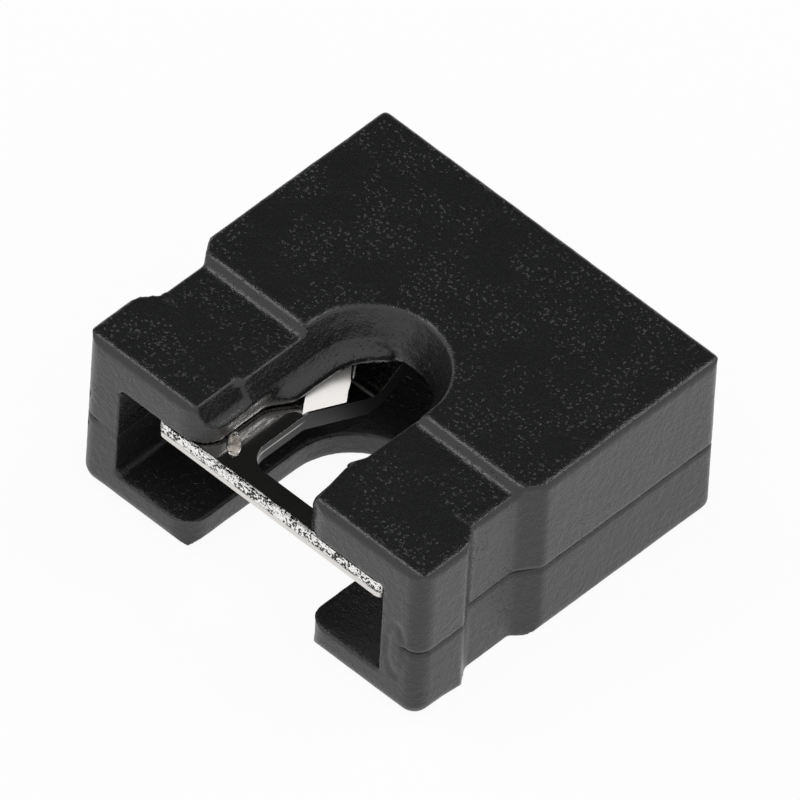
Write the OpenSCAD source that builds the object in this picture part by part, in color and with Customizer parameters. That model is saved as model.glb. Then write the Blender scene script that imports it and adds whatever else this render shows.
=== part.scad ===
// Jumper shunt, low open type, for square pins on a fixed pitch.
// It lies on its broad face: X runs across the two pins, Y from the open front to the pin side,
// Z up. The origin is at the middle of the underside. Depths are measured back from the front face.

/* [Housing] */
// Width of the housing, across both pins
housing_w = 5.08; // [4.9:0.02:5.6]
// Length of the housing, from the open front to the pin side
housing_l = 4.65; // [4.5:0.05:6]
// Height of the thick rear body
housing_h = 2.38; // [2.3:0.02:2.8]
// Radius of the outer edges
edge_r = 0.08; // [0.04:0.01:0.12]
// Radius of the top front edges of the two arms
brow_r = 0.11; // [0.05:0.01:0.16]

/* [Arms] */
// How far the tops of the arms lie below the rear body
arm_drop = 0.09; // [0.06:0.01:0.16]
// Depth at which the rear body steps up from the arms
step_d = 1.66; // [1.5:0.02:1.8]
// Radius of the hollow at the foot of the step
step_foot_r = 0.04; // [0.02:0.01:0.05]
// Length of the wide head at the front of each arm
head_l = 0.72; // [0.5:0.02:0.8]
// Length of the slope from the head in to the neck
head_slope = 0.25; // [0.1:0.01:0.3]
// How far each side of the neck is set in
neck_inset = 0.18; // [0.08:0.01:0.24]
// Length of the slope from the neck out to the rear body
shoulder_slope = 0.27; // [0.1:0.01:0.4]

/* [Notch] */
// Depth of the centre of the round end of the notch
notch_d = 1.8; // [1.6:0.02:2]
// Radius of the notch at its throat in the roof
throat_r = 0.7; // [0.6:0.01:0.8]
// Radius of the notch at the top face
rim_r = 0.885; // [0.82:0.005:0.95]
// How far the funnel reaches down from the top face
funnel_h = 0.38; // [0.2:0.01:0.45]
// How much wider the funnel is between the heads, on each side
head_relief = 0.07; // [0.02:0.01:0.12]
// Radius of the inner front corners of the roof
roof_corner_r = 0.24; // [0.1:0.01:0.3]
// Depth of the centre of the round end in the floor
floor_notch_d = 1.7; // [1.5:0.02:1.9]
// Radius of the notch in the floor
floor_notch_r = 0.86; // [0.75:0.01:0.95]
// Bevel along the underside of the notch
floor_bevel = 0.12; // [0.04:0.01:0.16]
// Radius of the inner front corners of the floor
floor_corner_r = 0.1; // [0.05:0.01:0.2]

/* [Cavity] */
// Thickness of the side walls
side_t = 0.58; // [0.45:0.01:0.65]
// Thickness of the floor
floor_t = 0.44; // [0.35:0.01:0.5]
// Thickness of the roof at the rear body
roof_t = 0.62; // [0.56:0.01:0.7]
// Thickness of the wall on the pin side
back_t = 0.7; // [0.5:0.02:0.9]

/* [Pins] */
// Distance between the two pins
pitch = 2.54; // [2.4:0.02:2.6]
// Width of a square pin
pin_w = 0.64; // [0.5:0.02:0.7]
// Room round a pin in its entry, on each side
pin_room = 0.18; // [0.1:0.01:0.2]
// How much wider the mouth of an entry is, on each side
lead_in = 0.2; // [0.1:0.01:0.25]
// Depth of the sloped mouth of an entry
lead_in_l = 0.35; // [0.2:0.01:0.45]

/* [Contact] */
// Thickness of the metal
metal_t = 0.22; // [0.15:0.01:0.25]
// Width of the contact, over both legs
contact_w = 3.38; // [3.2:0.02:3.4]
// Width of the gap between the legs
leg_gap = 1.24; // [1:0.02:1.4]
// Width of the web along the front
web_l = 0.28; // [0.22:0.01:0.4]
// Radius of the outer corners of the web
web_corner_r = 0.12; // [0.05:0.01:0.2]
// Radius of the inner corners between the web and the legs
crotch_r = 0.28; // [0.1:0.01:0.4]
// How far the web stands back from the front face
web_back = 0.02; // [0.01:0.01:0.06]
// Clearance between the contact and the roof, and the side wall that it lies against
seat_gap = 0.01; // [0.005:0.005:0.02]
// Depth at which the legs bend down
bend_d = 1.22; // [1.1:0.02:1.4]
// Depth at which the legs touch the pins
touch_d = 2.35; // [2.2:0.05:2.5]
// How far a pin lifts a leg
preload = 0.12; // [0.05:0.01:0.2]
// Length of the upturned tips of the legs
tip_l = 0.5; // [0.3:0.02:0.6]
// Slope of the upturned tips
tip_angle = 32; // [20:1:40]
// Inner radius of the bends
bend_r = 0.2; // [0.1:0.01:0.3]
// Radius of the corners of the tips
tip_corner_r = 0.2; // [0.1:0.01:0.3]

/* [Hidden] */
$fn = 48;
// How far a cutter reaches past the face that it cuts
reach = 0.5;
// Overlap of solids that are joined
weld = 0.1;

front_y = -housing_l / 2;
half_w = housing_w / 2;
neck_half_w = half_w - neck_inset;
arm_h = housing_h - arm_drop;
shoulder_d = step_d + shoulder_slope;
head_end_d = head_l + head_slope;

floor_z = floor_t;
roof_z = housing_h - roof_t;
throat_z = housing_h - funnel_h;
rim_slope = (rim_r - throat_r) / funnel_h;
cavity_half_w = half_w - side_t;
cavity_end_d = housing_l - back_t;
entry_w = pin_w + 2 * pin_room;
entry_z = floor_z + entry_w / 2;

// The contact lies against one side wall of the cavity
contact_x = cavity_half_w - seat_gap - contact_w / 2;
leg_w = (contact_w - leg_gap) / 2;
metal_top_z = roof_z - seat_gap;
mid_z = metal_top_z - metal_t / 2;
touch_z = floor_z + pin_w - preload + metal_t / 2;
beam_angle = atan((mid_z - touch_z) / (touch_d - bend_d));

// Rectangle between two corners, all four rounded
module soft_rect(x0, y0, x1, y1, r) {
    translate([x0 + r, y0])
        square([x1 - x0 - 2 * r, y1 - y0]);
    translate([x0, y0 + r])
        square([x1 - x0, y1 - y0 - 2 * r]);
    for (x = [x0 + r, x1 - r], y = [y0 + r, y1 - r])
        translate([x, y])
            circle(r);
}

// Sharp corner piece that is left beside a rounded one, at the origin, towards +X and +Y
module corner_waste(r) {
    difference() {
        square(r);
        translate([r, r])
            circle(r);
    }
}

// Cross-section in X and Z, drawn out from one depth to another
module run_back(from_d, to_d) {
    translate([0, front_y + to_d, 0])
        rotate([90, 0, 0])
            linear_extrude(to_d - from_d)
                children();
}

// Outline in depth and Z, drawn out across the whole width
module run_across(width) {
    translate([-width / 2, front_y, 0])
        rotate([90, 0, 90])
            linear_extrude(width)
                children();
}

// Outline in X and depth, drawn up from one height to another
module run_up(from_z, to_z) {
    translate([0, front_y, from_z])
        linear_extrude(to_z - from_z)
            children();
}

module beam_section(half, height) {
    soft_rect(-half, 0, half, height, edge_r);
}

// Thick rear body, with a shoulder on each side
module rear_body() {
    intersection() {
        run_back(step_d, housing_l)
            beam_section(half_w, housing_h);
        run_across(housing_w)
            soft_rect(step_d, 0, housing_l, housing_h, edge_r);
        run_up(0, housing_h)
            difference() {
                soft_rect(-half_w, step_d - weld, half_w, housing_l, edge_r);
                for (side = [-1, 1])
                    polygon([
                        [side * neck_half_w, step_d - weld],
                        [side * neck_half_w, step_d],
                        [side * half_w, shoulder_d],
                        [side * (half_w + reach), shoulder_d],
                        [side * (half_w + reach), step_d - weld]
                    ]);
            }
    }
}

// Lower front part that the notch parts into two arms
module necks() {
    intersection() {
        run_back(0, step_d + 3 * weld)
            beam_section(neck_half_w, arm_h);
        run_across(housing_w)
            arm_outline(step_d + 3 * weld);
    }
}

// Wide heads at the front of the arms
module heads() {
    intersection() {
        run_back(0, head_end_d)
            beam_section(half_w, arm_h);
        run_across(housing_w)
            arm_outline(head_end_d + weld);
        run_up(0, arm_h)
            difference() {
                soft_rect(-half_w, 0, half_w, head_end_d + weld, edge_r);
                for (side = [-1, 1])
                    polygon([
                        [side * half_w, head_l],
                        [side * neck_half_w, head_end_d],
                        [side * neck_half_w, head_end_d + 2 * weld],
                        [side * (half_w + reach), head_end_d + 2 * weld],
                        [side * (half_w + reach), head_l]
                    ]);
            }
    }
}

// Arms from the side, with a soft brow above the front face
module arm_outline(end_d) {
    difference() {
        square([end_d, arm_h]);
        corner_waste(edge_r);
        translate([0, arm_h])
            mirror([0, 1])
                corner_waste(brow_r);
    }
}

// Hollow that blends the arms into the step
module step_foot() {
    run_across(2 * (neck_half_w - edge_r))
        translate([step_d, arm_h])
            mirror([1, 0])
                corner_waste(step_foot_r);
}

// U-shaped cut, open to the front, whose half width goes from r0 at z0 to r1 at z1
module notch_cut(end_d, z0, z1, r0, r1) {
    run_back(-reach, end_d)
        polygon([[-r0, z0], [r0, z0], [r1, z1], [-r1, z1]]);
    translate([0, front_y + end_d, z0])
        cylinder(h = z1 - z0, r1 = r0, r2 = r1);
}

// Material taken off the inner front corners of the arms
module mouth_corners(half, r, z0, z1) {
    run_up(z0, z1)
        for (side = [0, 1])
            mirror([side, 0])
                translate([half, 0])
                    corner_waste(r);
}

// Notch in the roof, with its funnel
module roof_notch() {
    top_z = housing_h + reach;
    notch_cut(notch_d, roof_z - weld, throat_z, throat_r, throat_r);
    notch_cut(notch_d, throat_z, top_z, throat_r, throat_r + rim_slope * (top_z - throat_z));
    relief_half = throat_r + head_relief;
    run_back(-reach, head_l)
        polygon([
            [-relief_half, throat_z],
            [relief_half, throat_z],
            [relief_half + rim_slope * (top_z - throat_z), top_z],
            [-relief_half - rim_slope * (top_z - throat_z), top_z]
        ]);
    mouth_corners(throat_r, roof_corner_r, roof_z - weld, top_z);
}

// Notch in the floor, bevelled along its underside
module floor_notch() {
    notch_cut(floor_notch_d, -reach, floor_z + weld, floor_notch_r, floor_notch_r);
    notch_cut(
        floor_notch_d, -reach, floor_bevel,
        floor_notch_r + floor_bevel + reach, floor_notch_r
    );
    mouth_corners(floor_notch_r, floor_corner_r, -reach, floor_z + weld);
}

module cavity() {
    run_back(-reach, cavity_end_d)
        translate([-cavity_half_w, floor_z])
            square([2 * cavity_half_w, roof_z - floor_z]);
}

// Square entry for one pin, with a sloped mouth on the pin side
module pin_entry() {
    half = entry_w / 2;
    mouth = half + lead_in * (lead_in_l + reach) / lead_in_l;
    translate([0, housing_l / 2, entry_z]) {
        translate([-half, -back_t - weld, -half])
            cube([entry_w, back_t + weld + reach, entry_w]);
        intersection() {
            translate([0, 0, -mouth])
                linear_extrude(2 * mouth)
                    polygon([[-half, -lead_in_l], [half, -lead_in_l], [mouth, reach], [-mouth, reach]]);
            translate([-mouth, 0, 0])
                rotate([90, 0, 90])
                    linear_extrude(2 * mouth)
                        polygon([[-lead_in_l, -half], [reach, -mouth], [reach, mouth], [-lead_in_l, half]]);
        }
    }
}

module housing() {
    color("#26262a")
        difference() {
            union() {
                rear_body();
                necks();
                heads();
                step_foot();
            }
            roof_notch();
            floor_notch();
            cavity();
            for (side = [-1, 1])
                translate([side * pitch / 2, 0, 0])
                    pin_entry();
        }
}

// Unit vector at an angle
function heading(a) = [cos(a), sin(a)];

// Points on an arc round a centre, from one angle to another
function arc(centre, r, a0, a1, steps = 8) =
    [for (i = [0 : steps]) centre + r * heading(a0 + (a1 - a0) * i / steps)];

// Bends of the legs: the middle of the metal runs level, slopes down, then turns up
down_r = bend_r + metal_t / 2;
down_tangent = down_r * tan(beam_angle / 2);
up_tangent = down_r * tan((beam_angle + tip_angle) / 2);
down_start = [bend_d - down_tangent, mid_z];
down_centre = down_start - [0, down_r];
touch_point = [touch_d, touch_z];
up_start = touch_point - up_tangent * heading(-beam_angle);
up_centre = up_start + down_r * heading(90 - beam_angle);
up_end_angle = tip_angle - 90;

// One face of the strip, at a given height above the middle of the metal
function strip_face(h) = concat(
    [[web_back, mid_z + h]],
    arc(down_centre, down_r + h, 90, 90 - beam_angle),
    arc(up_centre, down_r - h, -90 - beam_angle, up_end_angle),
    [up_centre + (down_r - h) * heading(up_end_angle) + tip_l * heading(tip_angle)]
);

// The bent strip from the side
module strip_side() {
    upper = strip_face(metal_t / 2);
    lower = strip_face(-metal_t / 2);
    polygon(concat(upper, [for (i = [len(lower) - 1 : -1 : 0]) lower[i]]));
}

strip_end_d = up_centre[0] + (down_r + metal_t / 2) * cos(up_end_angle) + tip_l * cos(tip_angle);

// The blank from above: a web and two legs
module strip_plan() {
    slot_half = leg_gap / 2;
    difference() {
        union() {
            soft_rect(
                -contact_w / 2, web_back, contact_w / 2,
                web_back + web_l + crotch_r + 2 * web_corner_r, web_corner_r
            );
            for (side = [0, 1])
                mirror([side, 0])
                    leg_plan();
        }
        soft_rect(
            -slot_half, web_back + web_l, slot_half,
            strip_end_d + 2 * crotch_r, crotch_r
        );
    }
}

module leg_plan() {
    soft_rect(
        leg_gap / 2, web_back + web_l, contact_w / 2, strip_end_d, tip_corner_r
    );
}

module contact() {
    color("#d9d6cc")
        translate([contact_x, 0, 0])
            intersection() {
                run_across(contact_w + 2 * weld)
                    strip_side();
                run_up(floor_z, roof_z)
                    strip_plan();
            }
}

housing();
contact();
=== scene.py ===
"""Looks of a jumper shunt: a grained black moulding round a bright spring contact.

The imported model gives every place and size. Pieces are built in millimetres and turned into
metres once they are finished.
"""
import logging
import math
from dataclasses import dataclass, field
from enum import Enum
from typing import Any, Sequence

import bmesh
import bpy
from mathutils import Matrix, Vector


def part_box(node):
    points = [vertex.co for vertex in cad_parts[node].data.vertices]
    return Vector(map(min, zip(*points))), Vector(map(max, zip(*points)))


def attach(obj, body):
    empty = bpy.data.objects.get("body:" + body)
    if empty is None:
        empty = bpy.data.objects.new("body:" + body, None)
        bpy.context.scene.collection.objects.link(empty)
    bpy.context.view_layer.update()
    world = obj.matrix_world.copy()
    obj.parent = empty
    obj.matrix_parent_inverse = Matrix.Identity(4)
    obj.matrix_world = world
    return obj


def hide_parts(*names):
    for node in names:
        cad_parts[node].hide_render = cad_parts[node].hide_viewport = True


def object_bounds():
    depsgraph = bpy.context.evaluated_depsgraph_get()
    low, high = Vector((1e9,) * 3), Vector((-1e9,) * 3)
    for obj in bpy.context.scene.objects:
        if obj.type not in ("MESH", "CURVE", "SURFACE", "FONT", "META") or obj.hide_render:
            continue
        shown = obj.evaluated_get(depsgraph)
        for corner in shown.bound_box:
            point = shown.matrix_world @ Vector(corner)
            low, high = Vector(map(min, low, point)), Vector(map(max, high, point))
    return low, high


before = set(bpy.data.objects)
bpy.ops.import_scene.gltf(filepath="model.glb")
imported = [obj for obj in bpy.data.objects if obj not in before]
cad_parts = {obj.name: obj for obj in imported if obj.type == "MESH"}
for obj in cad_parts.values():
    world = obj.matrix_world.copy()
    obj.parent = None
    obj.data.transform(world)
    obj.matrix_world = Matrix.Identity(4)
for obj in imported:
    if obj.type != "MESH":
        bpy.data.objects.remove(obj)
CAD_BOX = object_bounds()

MM = 0.001
LOG = logging.getLogger("jumper_shunt")


class Slot(Enum):
    """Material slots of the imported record."""

    HOUSING = "housing_plastic"
    CONTACT = "contact_metal"


class Term:
    """A node's output socket, on which Python arithmetic adds Math nodes."""

    def __init__(self, nodes: "NodeMaker", socket: bpy.types.NodeSocket) -> None:
        """Wraps a socket.

        Args:
            nodes: The maker that owns the socket's tree.
            socket: The output socket.
        """
        self.nodes = nodes
        self.socket = socket

    def _math(self, operation: str, *values: "Term | float", clamp: bool = False) -> "Term":
        """Adds one Math node on this term and others.

        Args:
            operation: The node's operation.
            values: Terms or numbers, in the order of the node's sockets.
            clamp: Whether the result is kept from 0 to 1.

        Returns:
            The node's result.
        """
        sockets = dict(enumerate(values))
        return self.nodes.add("ShaderNodeMath", {"operation": operation, "use_clamp": clamp}, sockets)

    def __add__(self, other: "Term | float") -> "Term":
        """Sum."""
        return self._math("ADD", self, other)

    __radd__ = __add__

    def __sub__(self, other: "Term | float") -> "Term":
        """Difference."""
        return self._math("SUBTRACT", self, other)

    def __rsub__(self, other: float) -> "Term":
        """Difference from a number."""
        return self._math("SUBTRACT", other, self)

    def __mul__(self, other: "Term | float") -> "Term":
        """Product."""
        return self._math("MULTIPLY", self, other)

    __rmul__ = __mul__

    def __truediv__(self, other: "Term | float") -> "Term":
        """Quotient."""
        return self._math("DIVIDE", self, other)

    def __rtruediv__(self, other: float) -> "Term":
        """Quotient of a number by this term."""
        return self._math("DIVIDE", other, self)

    def __pow__(self, other: float) -> "Term":
        """Power."""
        return self._math("POWER", self, other)

    def __abs__(self) -> "Term":
        """Size without sign."""
        return self._math("ABSOLUTE", self)

    def sign(self) -> "Term":
        """1 above zero and -1 below."""
        return self._math("SIGN", self)

    def largest(self, other: "Term | float") -> "Term":
        """The larger of two values."""
        return self._math("MAXIMUM", self, other)

    def smallest(self, other: "Term | float") -> "Term":
        """The smaller of two values."""
        return self._math("MINIMUM", self, other)

    def ramp(self, low: float, high: float) -> "Term":
        """A smooth rise from 0 to 1.

        Args:
            low: Where the result is 0.
            high: Where the result is 1; it may be below low.

        Returns:
            The risen value.
        """
        settings = {"interpolation_type": "SMOOTHSTEP"}
        sockets = {"Value": self, "From Min": low, "From Max": high, "To Min": 0.0, "To Max": 1.0}
        return self.nodes.add("ShaderNodeMapRange", settings, sockets)


class NodeMaker:
    """Makes nodes in one tree, for materials, the world and geometry alike."""

    def __init__(self, tree: bpy.types.NodeTree) -> None:
        """Empties a tree and takes it over.

        Args:
            tree: The tree to fill.
        """
        self.tree = tree
        tree.nodes.clear()

    def add(
        self,
        kind: str,
        settings: dict[str, Any] | None = None,
        sockets: dict[str | int, Any] | None = None,
        output: str | int = 0,
    ) -> Term:
        """Adds one node.

        Args:
            kind: The node's type.
            settings: Its properties, set before its sockets.
            sockets: Values, or terms to link, by the socket's name, identifier or number.
            output: Name, identifier or number of the output to return.

        Returns:
            The chosen output.
        """
        node = self.tree.nodes.new(kind)
        for name, value in (settings or {}).items():
            setattr(node, name, value)
        for name, value in (sockets or {}).items():
            target = self._find(node.inputs, name)
            if isinstance(value, Term):
                self.tree.links.new(value.socket, target)
            else:
                target.default_value = value
        return Term(self, self._find(node.outputs, output)) if node.outputs else None

    @staticmethod
    def _find(sockets: Any, name: str | int) -> bpy.types.NodeSocket:
        """A socket by number, identifier or name.

        Args:
            sockets: A node's inputs or outputs.
            name: The socket's number, identifier or name.

        Returns:
            The socket.
        """
        if isinstance(name, int):
            return sockets[name]
        for socket in sockets:
            if socket.identifier == name:
                return socket
        return sockets[name]

    def split(self, vector: Term) -> tuple[Term, Term, Term]:
        """The three parts of a vector.

        Args:
            vector: The vector.

        Returns:
            Its X, Y and Z.
        """
        parts = self.add("ShaderNodeSeparateXYZ", None, {0: vector})
        node = parts.socket.node
        return tuple(Term(self, node.outputs[i]) for i in range(3))

    def scaled(self, vector: Term, factors: Sequence[float]) -> Term:
        """A vector with each part multiplied."""
        return self.add("ShaderNodeVectorMath", {"operation": "MULTIPLY"}, {0: vector, 1: tuple(factors)})

    def noise(self, where: Term, per_mm: float, detail: float = 2.0, roughness: float = 0.5) -> Term:
        """Smooth noise from 0 to 1.

        Args:
            where: Coordinates in millimetres.
            per_mm: Number of features in a millimetre.
            detail: Number of finer layers.
            roughness: Strength of the finer layers.

        Returns:
            The noise, about 0.5 in the middle.
        """
        sockets = {"Vector": where, "Scale": per_mm, "Detail": detail, "Roughness": roughness}
        return self.add("ShaderNodeTexNoise", {"noise_dimensions": "3D"}, sockets, "Fac")

    def blend(self, factor: Term, first: Any, second: Any) -> Term:
        """A colour between two colours.

        Args:
            factor: 0 for the first, 1 for the second.
            first: A colour or a term.
            second: A colour or a term.

        Returns:
            The mixed colour.
        """
        sockets = {"Factor_Float": factor, "A_Color": first, "B_Color": second}
        return self.add("ShaderNodeMix", {"data_type": "RGBA"}, sockets, "Result_Color")


def grey(level: float, warmth: float = 0.0) -> tuple[float, float, float, float]:
    """A grey colour, warmer above zero and cooler below.

    Args:
        level: Linear brightness.
        warmth: Share by which red is raised and blue lowered.

    Returns:
        Linear red, green, blue and alpha.
    """
    return (level * (1 + warmth), level, level * (1 - warmth), 1.0)


def new_material(name: str) -> tuple[bpy.types.Material, NodeMaker]:
    """An empty material and the maker of its nodes.

    Args:
        name: The material's name.

    Returns:
        The material, and the maker on its tree.
    """
    material = bpy.data.materials.new(name)
    material.use_nodes = True
    return material, NodeMaker(material.node_tree)


def millimetres(nodes: NodeMaker) -> Term:
    """The object's own coordinates, in millimetres."""
    where = nodes.add("ShaderNodeTexCoord", None, None, "Object")
    return nodes.scaled(where, (1 / MM,) * 3)


@dataclass(frozen=True)
class GrainedPlastic:
    """Black moulding with a fine eroded grain, coarser below the parting line."""

    name: str = "grained_plastic"
    level: float = 0.010
    warmth: float = -0.03
    roughness: float = 0.27
    grain_per_mm: float = 40.0
    grain_height: float = 0.0042
    pits_per_mm: float = 13.0
    pit_height: float = 0.006
    fleck_height: float = 0.007
    coarse_share: float = 1.5
    line_half_width: float = 0.02
    # Strength of the painted shade along the parting line.
    parting_line_shade: float = 0.95
    clouds_per_mm: float = 1.7

    def make(self, parting_z: float, box: tuple[Vector, Vector]) -> bpy.types.Material:
        """Builds the material.

        Args:
            parting_z: Height of the parting line, in millimetres.
            box: Lowest and highest corner of the housing, in millimetres.

        Returns:
            The material.
        """
        material, nodes = new_material(self.name)
        where = millimetres(nodes)
        x, y, z = nodes.split(where)
        high = box[1]
        fine = nodes.noise(where, self.grain_per_mm, 2.0, 0.6)
        pits = nodes.noise(where, self.pits_per_mm, 2.0)
        cloud = nodes.noise(where, self.clouds_per_mm, 3.0)
        flecks = nodes.noise(where, self.grain_per_mm * 0.6, 1.0).ramp(0.62, 0.74) * cloud.ramp(0.35, 0.65)
        below = z.ramp(parting_z + 0.01, parting_z - 0.01)
        coarse = 1 + below * (self.coarse_share - 1)
        height = (fine * self.grain_height + pits * self.pit_height) * coarse + flecks * self.fleck_height
        bump = nodes.add("ShaderNodeBump", None, {"Strength": 1.0, "Distance": MM, "Height": height})
        side = abs(x).ramp(high.x - 0.3, high.x - 0.25).largest(y.ramp(high.y - 0.06, high.y - 0.03))
        wander = nodes.noise(nodes.scaled(where, (1.0, 1.0, 0.0)), 3.0, 3.0)
        gap = abs(z - parting_z + (wander - 0.5) * 0.03)
        # Painted shade: on the sides the colour is darkened almost to black along the parting line, standing
        # in for the shade in its groove; the same mask also raises the roughness.
        line = gap.ramp(self.line_half_width, self.line_half_width * 0.4) * side * wander.ramp(0.3, 0.5)
        shade = nodes.blend(cloud, grey(self.level * 0.8, self.warmth), grey(self.level * 1.2, self.warmth))
        base = nodes.blend(line * self.parting_line_shade, shade, grey(self.level * 0.15))
        rough = self.roughness - 0.12 * (fine - 0.5) + below * 0.08 + line * 0.5
        shader = nodes.add(
            "ShaderNodeBsdfPrincipled",
            None,
            {"Base Color": base, "Roughness": rough, "Normal": bump, "IOR": 1.55},
        )
        nodes.add("ShaderNodeOutputMaterial", None, {"Surface": shader})
        return material


@dataclass(frozen=True)
class TinnedStrip:
    """Bright tin on a stamped strip: mirror faces, a torn front edge, and a patch on the left leg whose
    colour is raised and whose shading normal is turned, painting a bright reflection.
    """

    name: str = "tinned_strip"
    level: float = 0.72
    warmth: float = 0.035
    roughness: float = 0.07
    streaks_per_mm: float = 26.0
    burnished_share: float = 0.34
    torn_width: float = 0.035
    specks_per_mm: float = 30.0
    reflection_start: float = 1.15
    reflection_end: float = 1.86
    reflection_skew: float = 0.8
    reflection_normal: tuple[float, float, float] = (0.42, -0.40, 0.815)
    # Raised colour of the painted reflection patch on the left leg.
    reflection_level: float = 0.84
    reflection_warmth: float = 0.03
    reflection_roughness: float = 0.22
    # Colour of the painted shade on the strip's sideways faces.
    side_shade_level: float = 0.03
    cut_line_z: float = 1.655
    spot_half_width: float = 0.11
    spot_half_length: float = 0.32

    def make(self, strip: "StripPlaces") -> bpy.types.Material:
        """Builds the material.

        Args:
            strip: Places on the strip, in millimetres.

        Returns:
            The material.
        """
        material, nodes = new_material(self.name)
        where = millimetres(nodes)
        x, y, z = nodes.split(where)
        depth = y - strip.front_y
        facing = nodes.add("ShaderNodeNewGeometry", None, None, "Normal")
        side_way, _, up_way = nodes.split(facing)
        torn, pits = self._torn_edge(nodes, where, depth, z, strip)
        reflection_patch = self._reflection_patch(nodes, x, depth, strip) * up_way.ramp(0.5, 0.7)
        streaks = nodes.noise(nodes.scaled(where, (1.0, 0.07, 0.3)), self.streaks_per_mm, 2.0, 0.6)
        cloud = nodes.noise(where, 4.0, 3.0)
        spot = self._dull_spot(nodes, where, x, depth, strip) * up_way.ramp(0.5, 0.7)
        # Painted shade: the strip's sideways faces are painted almost black, made rougher and nearly
        # non-metallic, so they read as faces in shade. A thin ragged line near the front at one height (the
        # glint) keeps the bright tin so that it catches a highlight.
        side_shade = abs(side_way).ramp(0.5, 0.75) * (1 - torn)
        ragged = nodes.noise(where, 9.0, 3.0)
        glint = abs(z - self.cut_line_z).ramp(0.014, 0.006) * depth.ramp(1.24, 1.1) * ragged.ramp(0.25, 0.4)
        base = nodes.blend(cloud, grey(self.level * 0.88, self.warmth), grey(self.level, self.warmth))
        base = nodes.blend(side_shade * (1 - glint), base, grey(self.side_shade_level))
        base = nodes.blend(torn, base, grey(0.95, 0.01))
        base = nodes.blend(spot, base, nodes.blend(ragged.ramp(0.4, 0.65), grey(0.3, 0.12), grey(0.6, 0.1)))
        base = nodes.blend(pits, base, grey(0.015))
        # Painted reflection: the patch on the left leg gets a raised colour here, and below its shading
        # normal is turned to a fixed direction towards the bright dome. The reflection itself is rendered,
        # but the leg's shape doesn't make it.
        base = nodes.blend(reflection_patch, base, grey(self.reflection_level, self.reflection_warmth))
        plain = self.roughness + 0.05 * cloud + 0.3 * torn + 0.4 * spot + 0.3 * side_shade
        rough = plain + reflection_patch * (self.reflection_roughness - self.roughness)
        relief = nodes.noise(where, self.specks_per_mm, 3.0, 0.7) * (torn * 0.02 + spot * 0.02)
        height = relief + streaks * 0.0003
        bump = nodes.add("ShaderNodeBump", None, {"Strength": 1.0, "Distance": MM, "Height": height})
        sockets = {"Factor_Float": reflection_patch, "A_Vector": bump, "B_Vector": self.reflection_normal}
        turned = nodes.add("ShaderNodeMix", {"data_type": "VECTOR"}, sockets, "Result_Vector")
        metallic = 1 - side_shade * (1 - glint) * 0.9
        sockets = {"Base Color": base, "Metallic": metallic, "Roughness": rough, "Normal": turned}
        shader = nodes.add("ShaderNodeBsdfPrincipled", None, sockets)
        nodes.add("ShaderNodeOutputMaterial", None, {"Surface": shader})
        return material

    def _torn_edge(
        self, nodes: NodeMaker, where: Term, depth: Term, z: Term, strip: "StripPlaces"
    ) -> tuple[Term, Term]:
        """The torn part of the front edge, which laps on to the top face.

        Args:
            nodes: The material's nodes.
            where: Coordinates in millimetres.
            depth: Depth behind the front face.
            z: Height.
            strip: Places on the strip.

        Returns:
            Where the edge is torn, and where its pits are painted black as shade.
        """
        wander = nodes.noise(nodes.scaled(where, (1.0, 0.0, 0.0)), 5.0, 3.0) - 0.5
        split_z = strip.top_z - strip.metal_t * (1 - self.burnished_share)
        above = (z + wander * 0.05).ramp(split_z - 0.01, split_z + 0.01)
        reach = strip.web_back + self.torn_width
        ahead = (depth + wander * 0.05).ramp(reach + 0.015, reach)
        torn = above * ahead
        grain = nodes.noise(where, self.specks_per_mm, 2.0, 0.7)
        islands = nodes.noise(where, self.specks_per_mm * 0.25, 2.0)
        # Painted shade: where the torn band's noise runs low, in the hollows of its bump relief, the colour
        # is painted almost black.
        pits = (grain + (islands - 0.5) * 0.5).ramp(0.5, 0.45) * torn
        return torn, pits

    def _reflection_patch(self, nodes: NodeMaker, x: Term, depth: Term, strip: "StripPlaces") -> Term:
        """A patch on the left leg where the colour is raised and the shading normal is turned towards the
        bright dome, painting a reflection that the leg's shape doesn't give; its rear end breaks up into
        streaks.

        Args:
            nodes: The material's nodes.
            x: Place across the pins.
            depth: Depth behind the front face.
            strip: Places on the strip.

        Returns:
            Where the patch lies.
        """
        across = depth + (x - strip.left_inner_x) * (1 / self.reflection_skew)
        along = x - depth * (1 / self.reflection_skew)
        sample = nodes.add("ShaderNodeCombineXYZ", None, {0: across * 22.0, 1: along * 1.2, 2: 0.0})
        ragged = nodes.noise(sample, 1.0, 1.0)
        front = across.ramp(self.reflection_start, self.reflection_start + 0.012)
        rear = (across + (ragged - 0.5) * 0.45).ramp(self.reflection_end + 0.02, self.reflection_end)
        inside = x.ramp(strip.left_inner_x - 0.02, strip.left_inner_x - 0.035)
        left = x.ramp(strip.left_inner_x + 0.3, strip.left_inner_x + 0.29)
        return front * rear * inside * left

    def _dull_spot(self, nodes: NodeMaker, where: Term, x: Term, depth: Term, strip: "StripPlaces") -> Term:
        """The dull spot on the web beside the left arm, with a crackled rim.

        Args:
            nodes: The material's nodes.
            where: Coordinates in millimetres.
            x: Place across the pins.
            depth: Depth behind the front face.
            strip: Places on the strip.

        Returns:
            Where the spot lies.
        """
        ragged = nodes.noise(where, 7.0, 4.0, 0.7) - 0.5
        off_x = x - strip.spot_x
        off_d = depth - strip.spot_d
        across = (off_x + off_d) * (1 / self.spot_half_width)
        along = (off_x - off_d) * (1 / self.spot_half_length)
        return (across * across + along * along + ragged * 1.6).ramp(1.1, 0.2)


@dataclass(frozen=True)
class StripPlaces:
    """Places on the contact strip, in millimetres."""

    front_y: float
    top_z: float
    left_inner_x: float
    metal_t: float
    web_back: float
    spot_x: float
    spot_d: float


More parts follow.
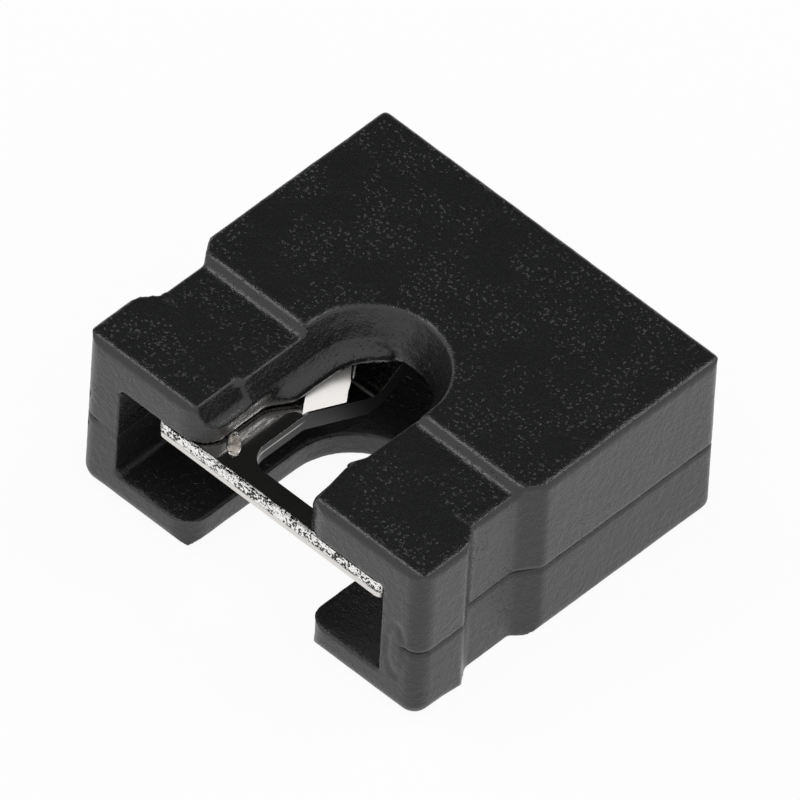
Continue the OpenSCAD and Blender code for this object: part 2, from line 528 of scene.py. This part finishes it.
@dataclass(frozen=True)
class PaleFloor:
    """Floor that stays almost white and keeps a faint shadow."""

    name: str = "pale_floor"
    own_light: float = 0.94
    level: float = 0.8

    def make(self) -> bpy.types.Material:
        """Builds the material.

        Returns:
            The material.
        """
        material, nodes = new_material(self.name)
        path = nodes.add("ShaderNodeLightPath", None, None, "Is Camera Ray")
        ends = path.socket.node.outputs
        seen = path.largest(Term(nodes, ends["Is Glossy Ray"]))
        seen = seen.largest(Term(nodes, ends["Is Transmission Ray"]))
        matt = nodes.add("ShaderNodeBsdfDiffuse", None, {"Color": grey(self.level)})
        glow = nodes.add("ShaderNodeEmission", None, {"Color": grey(1.0), "Strength": 1.0})
        shader = nodes.add("ShaderNodeMixShader", None, {0: seen * self.own_light, 1: matt, 2: glow})
        nodes.add("ShaderNodeOutputMaterial", None, {"Surface": shader})
        return material


def box_mm(node: str) -> tuple[Vector, Vector]:
    """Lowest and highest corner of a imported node, in millimetres."""
    low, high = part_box(node)
    return low / MM, high / MM


def settle(piece: bpy.types.Object, slot: Slot, *nodes: str) -> bpy.types.Object:
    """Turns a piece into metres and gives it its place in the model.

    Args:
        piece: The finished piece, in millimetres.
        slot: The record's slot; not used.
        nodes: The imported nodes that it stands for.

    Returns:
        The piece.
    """
    piece.data.transform(Matrix.Scale(MM, 4))
    piece.data.update()
    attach(piece, "root")
    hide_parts(*nodes)
    LOG.info("%s: %d faces", piece.name, len(piece.data.polygons))
    return piece


def plain_mesh(source: bpy.types.Object, name: str) -> bpy.types.Object:
    """Turns an object with modifiers into a new object with a plain mesh.

    Args:
        source: The object, which is removed.
        name: Name of the new object.

    Returns:
        The new object, at the origin.
    """
    graph = bpy.context.evaluated_depsgraph_get()
    mesh = bpy.data.meshes.new_from_object(source.evaluated_get(graph))
    bpy.data.objects.remove(source)
    mesh.name = name
    piece = bpy.data.objects.new(name, mesh)
    bpy.context.scene.collection.objects.link(piece)
    return piece


def copy_of_solid(node: str) -> bpy.types.Object:
    """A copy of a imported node, merged and with its flat faces whole, in millimetres.

    Args:
        node: The node's name.

    Returns:
        The copy.
    """
    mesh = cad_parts[node].data.copy()
    mesh.transform(Matrix.Scale(1 / MM, 4))
    form = bmesh.new()
    form.from_mesh(mesh)
    bmesh.ops.remove_doubles(form, verts=form.verts, dist=1e-4)
    bmesh.ops.dissolve_limit(form, angle_limit=math.radians(0.5), verts=form.verts, edges=form.edges)
    for face in form.faces:
        face.smooth = True
    form.to_mesh(mesh)
    form.free()
    mesh.materials.clear()
    copy = bpy.data.objects.new(node + "_source", mesh)
    bpy.context.scene.collection.objects.link(copy)
    return copy


@dataclass
class Housing:
    """The black moulding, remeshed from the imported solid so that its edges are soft."""

    plastic: GrainedPlastic = field(default_factory=GrainedPlastic)
    voxel: float = 0.038
    skin: float = 0.0105
    parting_z: float = 1.05
    groove_depth: float = 0.024
    groove_half_width: float = 0.03
    wave_height: float = 0.008
    waves_per_mm: float = 2.2
    lump_height: float = 0.006
    lumps_per_mm: float = 9.0
    corner_r: float = 0.17
    head_corner_r: float = 0.23
    lip_corner_x: float = 0.86
    lip_corner_r: float = 0.3
    roof_corner_x: float = 0.69
    roof_corner_r: float = 0.4
    head_d: float = 0.72
    head_lean: float = 0.12
    neck_lean: float = 0.06
    flash_reach: float = 0.17
    ring_half_width: float = 0.035
    ring_heights: tuple[float, float] = (2.0, 1.86)
    ring_lifts: tuple[float, float] = (0.012, 0.016)
    crease_d: float = 1.02
    crease_lift: float = 0.016
    blister_x: float = 2.2
    blister_z: float = 0.94
    blister_half_width: float = 0.11
    blister_half_height: float = 0.34
    chip_heights: tuple[float, ...] = (1.32, 0.87)

    def build(self) -> bpy.types.Object:
        """Makes the housing and puts it in the model.

        Returns:
            The finished piece.
        """
        source = copy_of_solid("housing")
        remesh = source.modifiers.new("skin", "REMESH")
        remesh.mode = "VOXEL"
        remesh.voxel_size = self.voxel
        remesh.use_smooth_shade = True
        low, high = box_mm("housing")
        material = self.plastic.make(self.parting_z, (low, high))
        relief = source.modifiers.new("relief", "NODES")
        relief.node_group = self._relief_tree(low, high)
        values = {
            "Wave height": self.wave_height,
            "Lump height": self.lump_height,
            "Groove depth": self.groove_depth,
            "Material": material,
        }
        for item in relief.node_group.interface.items_tree:
            if item.item_type == "SOCKET" and item.name in values:
                relief[item.identifier] = values[item.name]
        piece = plain_mesh(source, "housing_moulding")
        return settle(piece, Slot.HOUSING, "housing")

    def _relief_tree(self, low: Vector, high: Vector) -> bpy.types.NodeTree:
        """The tree that moves the skin in and out.

        Args:
            low: Lowest corner of the housing, in millimetres.
            high: Highest corner.

        Returns:
            The geometry tree.
        """
        tree = bpy.data.node_groups.new("moulded_relief", "GeometryNodeTree")
        tree.interface.new_socket("Geometry", in_out="INPUT", socket_type="NodeSocketGeometry")
        for name in ("Wave height", "Lump height", "Groove depth"):
            tree.interface.new_socket(name, in_out="INPUT", socket_type="NodeSocketFloat")
        tree.interface.new_socket("Material", in_out="INPUT", socket_type="NodeSocketMaterial")
        tree.interface.new_socket("Geometry", in_out="OUTPUT", socket_type="NodeSocketGeometry")
        nodes = NodeMaker(tree)
        start = nodes.add("NodeGroupInput")
        given = {s.name: Term(nodes, s) for s in start.socket.node.outputs if s.name}
        where = nodes.add("GeometryNodeInputPosition")
        normal = nodes.add("GeometryNodeInputNormal")
        x, y, z = nodes.split(where)
        depth = y - low.y
        wave = (nodes.noise(where, self.waves_per_mm) - 0.5) * given["Wave height"]
        lump = (nodes.noise(where, self.lumps_per_mm) - 0.5) * given["Lump height"]
        side = abs(x).ramp(high.x - 0.3, high.x - 0.25).largest(y.ramp(high.y - 0.08, high.y - 0.04))
        groove = abs(z - self.parting_z).ramp(self.groove_half_width, 0.0) * side * given["Groove depth"]
        lift = wave + lump - groove - self.skin + self._marks(x, depth, z, high)
        swell = nodes.add("ShaderNodeVectorMath", {"operation": "SCALE"}, {0: normal, "Scale": lift})
        rounding = self._rounding(nodes, x, y, z, low, high)
        leaning = nodes.add("ShaderNodeCombineXYZ", None, {0: self._lean(x, depth, z)})
        shift = nodes.add("ShaderNodeVectorMath", {"operation": "ADD"}, {0: swell, 1: rounding})
        shift = nodes.add("ShaderNodeVectorMath", {"operation": "ADD"}, {0: shift, 1: leaning})
        moved = nodes.add("GeometryNodeSetPosition", None, {"Geometry": given["Geometry"], "Offset": shift})
        real = nodes.add("GeometryNodeRealizeInstances", None, {"Geometry": moved})
        finish = {"Geometry": real, "Material": given["Material"]}
        dressed = nodes.add("GeometryNodeSetMaterial", None, finish)
        nodes.add("NodeGroupOutput", None, {0: dressed})
        return tree

    @staticmethod
    def _pulled_in(reaches: Sequence[Term], radius: Term | float) -> list[Term]:
        """How far a corner's skin moves back along each axis to take a radius.

        Args:
            reaches: How far the skin lies past the corner's centre, along each axis.
            radius: The corner's radius.

        Returns:
            The distance along each axis.
        """
        over = [reach.largest(0.0) for reach in reaches]
        squares = over[0] * over[0]
        for part in over[1:]:
            squares = squares + part * part
        length = squares.largest(1e-6) ** 0.5
        excess = 1 - (radius / length).smallest(1.0)
        return [part * excess for part in over]

    def _rounding(self, nodes: NodeMaker, x: Term, y: Term, z: Term, low: Vector, high: Vector) -> Term:
        """The shift that rounds the outer corners, the floor lips and the arms' inner corners.

        Args:
            nodes: The tree's nodes.
            x: Place across the pins.
            y: Place from front to back.
            z: Height.
            low: Lowest corner of the housing.
            high: Highest corner.

        Returns:
            The shift as a vector.
        """
        front = y.ramp(low.y + 0.8, low.y + 0.4)
        radius = self.corner_r + front * (self.head_corner_r - self.corner_r)
        outer = self._pulled_in([abs(x) - high.x + radius, abs(y) - high.y + radius, radius - z], radius)
        new_x, new_y, new_z = abs(x) - outer[0], y - outer[1] * y.sign(), z + outer[2]
        for edge_x, corner_r, mask in (
            (self.lip_corner_x, self.lip_corner_r, z.ramp(0.8, 0.7)),
            (self.roof_corner_x, self.roof_corner_r, z.ramp(1.5, 1.6)),
        ):
            inner = self._pulled_in([edge_x + corner_r - new_x, low.y + corner_r - new_y], corner_r)
            mask = mask * y.ramp(low.y + corner_r + 0.2, low.y + corner_r + 0.1)
            new_x = new_x + inner[0] * mask
            new_y = new_y + inner[1] * mask
        shifts = {0: (new_x - abs(x)) * x.sign(), 1: new_y - y, 2: new_z - z}
        return nodes.add("ShaderNodeCombineXYZ", None, shifts)

    def _lean(self, x: Term, depth: Term, z: Term) -> Term:
        """How far the right arm's inner wall and the flash in the throat reach along X.

        Args:
            x: Place across the pins.
            depth: Depth behind the front face.
            z: Height.

        Returns:
            The shift along X.
        """
        head = depth.ramp(self.head_d + 0.02, self.head_d - 0.02)
        taper = ((depth + 0.1) * (1 / (self.head_d - 0.02))).smallest(1.0)
        neck = depth.ramp(self.head_d + 0.2, self.head_d) * (1 - head)
        inward = (taper * head * self.head_lean + neck * self.neck_lean) * (0.5 + z.ramp(2.0, 2.29) * 0.5)
        near_arm = x.ramp(1.5, 1.0) * x.ramp(0.2, 0.4) * z.ramp(1.55, 1.65)
        near_flash = x.ramp(-1.2, -0.8) * x.ramp(-0.1, -0.4) * z.ramp(2.02, 1.84) * z.ramp(1.5, 1.6)
        stretch = depth.ramp(0.9, 1.3) * depth.ramp(2.6, 2.3)
        return near_flash * stretch * self.flash_reach - inward * near_arm

    def _marks(self, x: Term, depth: Term, z: Term, high: Vector) -> Term:
        """Small marks of moulding and wear: rings in the throat, creases, a blister and chips.

        Args:
            x: Place across the pins.
            depth: Depth behind the front face.
            z: Height.
            high: Highest corner of the housing.

        Returns:
            How far the skin stands out.
        """
        in_notch = abs(x).ramp(0.95, 0.85) * depth.ramp(0.5, 0.8) * depth.ramp(2.8, 2.7)
        upper, lower = (
            abs(z - height).ramp(self.ring_half_width, 0.0) * lift
            for height, lift in zip(self.ring_heights, self.ring_lifts)
        )
        rings = upper + lower
        fold = abs(x).ramp(1.95, 2.15) * abs(depth - self.crease_d).ramp(0.06, 0.0) * z.ramp(2.2, 2.25)
        crease = fold * self.crease_lift
        across = (x - self.blister_x) * (1 / self.blister_half_width)
        along = (z - self.blister_z) * (1 / self.blister_half_height)
        away = (across * across + along * along) ** 0.5
        at_front = depth.ramp(0.12, 0.06)
        blister = (away.ramp(1.0, 0.6) * 0.008 - abs(away - 1.15).ramp(0.25, 0.0) * 0.016) * at_front
        marks = rings * in_notch + crease + blister
        for height in self.chip_heights:
            off = ((x + high.x - 0.05) * (x + high.x - 0.05) + (z - height) * (z - height)) ** 0.5
            marks = marks - (off + depth * 0.5).ramp(0.075, 0.03) * 0.035
        return marks


@dataclass
class Contact:
    """The stamped strip, with its edges rolled."""

    metal: TinnedStrip = field(default_factory=TinnedStrip)
    metal_t: float = 0.22
    leg_gap: float = 1.24
    rolled: float = 0.022
    segments: int = 3
    sharp_angle: float = 32.0
    spot_inset: float = 0.25
    spot_d: float = 0.36

    def build(self) -> bpy.types.Object:
        """Makes the contact and puts it in the model.

        Returns:
            The finished piece.
        """
        source = copy_of_solid("contact")
        roll = source.modifiers.new("rolled_edges", "BEVEL")
        roll.width = self.rolled
        roll.segments = self.segments
        roll.limit_method = "ANGLE"
        roll.angle_limit = math.radians(self.sharp_angle)
        roll.miter_outer = "MITER_ARC"
        flats = source.modifiers.new("flat_faces", "WEIGHTED_NORMAL")
        flats.mode = "FACE_AREA"
        flats.weight = 100
        piece = plain_mesh(source, "contact_strip")
        piece.data.materials.append(self.metal.make(self._places()))
        return settle(piece, Slot.CONTACT, "contact")

    def _places(self) -> StripPlaces:
        """Places on the strip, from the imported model.

        Returns:
            The places, in millimetres.
        """
        low, high = box_mm("contact")
        front_y = box_mm("housing")[0].y
        middle_x = (low.x + high.x) / 2
        inner_x = middle_x - self.leg_gap / 2
        return StripPlaces(
            front_y=front_y,
            top_z=high.z,
            left_inner_x=inner_x,
            metal_t=self.metal_t,
            web_back=low.y - front_y,
            spot_x=inner_x - self.spot_inset,
            spot_d=self.spot_d,
        )


@dataclass
class Stage:
    """Floor, lights, world and camera."""

    azimuth: float = 41.5
    elevation: float = 47.3
    roll: float = 3.6
    distance: float = 500.0
    view_width: float = 8.59
    aim_right: float = 0.004
    aim_up: float = 0.168
    floor_half: float = 300.0
    hole_azimuth: float = 221.5
    hole_elevation: float = 47.3
    hole_half: float = 30.0
    hole_soft: float = 12.0
    hole_level: float = 0.014
    dome_level: float = 1.0
    sensor: float = 36.0
    lamp_away: float = 120.0

    def build(self) -> None:
        """Makes everything that isn't the object."""
        self._floor()
        self._world()
        self._lamps()
        self._camera()

    def _floor(self) -> None:
        """Makes the floor."""
        half = self.floor_half * MM
        mesh = bpy.data.meshes.new("floor")
        corners = [(-half, -half, 0), (half, -half, 0), (half, half, 0), (-half, half, 0)]
        mesh.from_pydata(corners, [], [(0, 1, 2, 3)])
        mesh.materials.append(PaleFloor().make())
        floor = bpy.data.objects.new("floor", mesh)
        bpy.context.scene.collection.objects.link(floor)

    def _world(self) -> None:
        """Makes a sky that is bright round the horizon and dark overhead."""
        world = bpy.data.worlds.new("studio")
        world.use_nodes = True
        bpy.context.scene.world = world
        nodes = NodeMaker(world.node_tree)
        toward = nodes.add("ShaderNodeTexCoord", None, None, "Generated")
        hole = self._direction(self.hole_azimuth, self.hole_elevation)
        product = {"operation": "DOT_PRODUCT"}
        facing = nodes.add("ShaderNodeVectorMath", product, {0: toward, 1: hole}, "Value")
        inner, outer = (math.cos(math.radians(a)) for a in (self.hole_half, self.hole_half + self.hole_soft))
        dome = facing.ramp(inner, outer)
        seen = nodes.add("ShaderNodeLightPath", None, None, "Is Camera Ray")
        level = (self.hole_level + (self.dome_level - self.hole_level) * dome).largest(seen)
        glow = nodes.add("ShaderNodeBackground", None, {"Color": grey(1.0), "Strength": level})
        nodes.add("ShaderNodeOutputWorld", None, {"Surface": glow})

    def _lamps(self) -> None:
        """Hangs soft lamps round the object."""
        for name, azimuth, elevation, size, power in (
            ("front_lamp", -79.0, 63.0, 40.0, 0.02),
            ("rear_lamp", 166.0, 58.0, 40.0, 0.02),
        ):
            light = bpy.data.lights.new(name, "AREA")
            light.shape = "DISK"
            light.size = size * MM
            light.energy = power
            lamp = bpy.data.objects.new(name, light)
            bpy.context.scene.collection.objects.link(lamp)
            away = self._direction(azimuth, elevation)
            lamp.location = away * self.lamp_away * MM
            lamp.rotation_mode = "QUATERNION"
            lamp.rotation_quaternion = away.to_track_quat("Z", "Y")

    @staticmethod
    def _direction(azimuth: float, elevation: float) -> Vector:
        """Unit vector from the object towards a place round it, by its angles in degrees."""
        a, e = math.radians(azimuth), math.radians(elevation)
        return Vector((math.sin(a) * math.cos(e), -math.cos(a) * math.cos(e), math.sin(e)))

    def _camera(self) -> None:
        """Sets up the camera at the viewing angle."""
        back = self._direction(self.azimuth, self.elevation)
        around = math.radians(self.azimuth)
        level_right = Vector((math.cos(around), math.sin(around), 0.0))
        level_up = back.cross(level_right)
        turn = math.radians(self.roll)
        right = math.cos(turn) * level_right + math.sin(turn) * level_up
        up = -math.sin(turn) * level_right + math.cos(turn) * level_up
        centre = (CAD_BOX[0] + CAD_BOX[1]) / 2
        aim = centre + (self.aim_right * right + self.aim_up * up) * MM
        data = bpy.data.cameras.new("camera")
        data.sensor_width = self.sensor
        data.lens = self.sensor * self.distance / self.view_width
        data.clip_start = self.distance * MM * 0.1
        data.clip_end = self.distance * MM * 10
        camera = bpy.data.objects.new("camera", data)
        bpy.context.scene.collection.objects.link(camera)
        camera.rotation_mode = "QUATERNION"
        camera.rotation_quaternion = Matrix((right, up, back)).transposed().to_quaternion()
        camera.location = aim + back * self.distance * MM
        bpy.context.scene.camera = camera


def main() -> None:
    """Builds the object and its stage."""
    logging.basicConfig(level=logging.INFO, format="%(name)s: %(message)s")
    bpy.context.scene.view_settings.view_transform = "Standard"
    Stage().build()
    Housing().build()
    Contact().build()


if __name__ == "__main__":
    main()
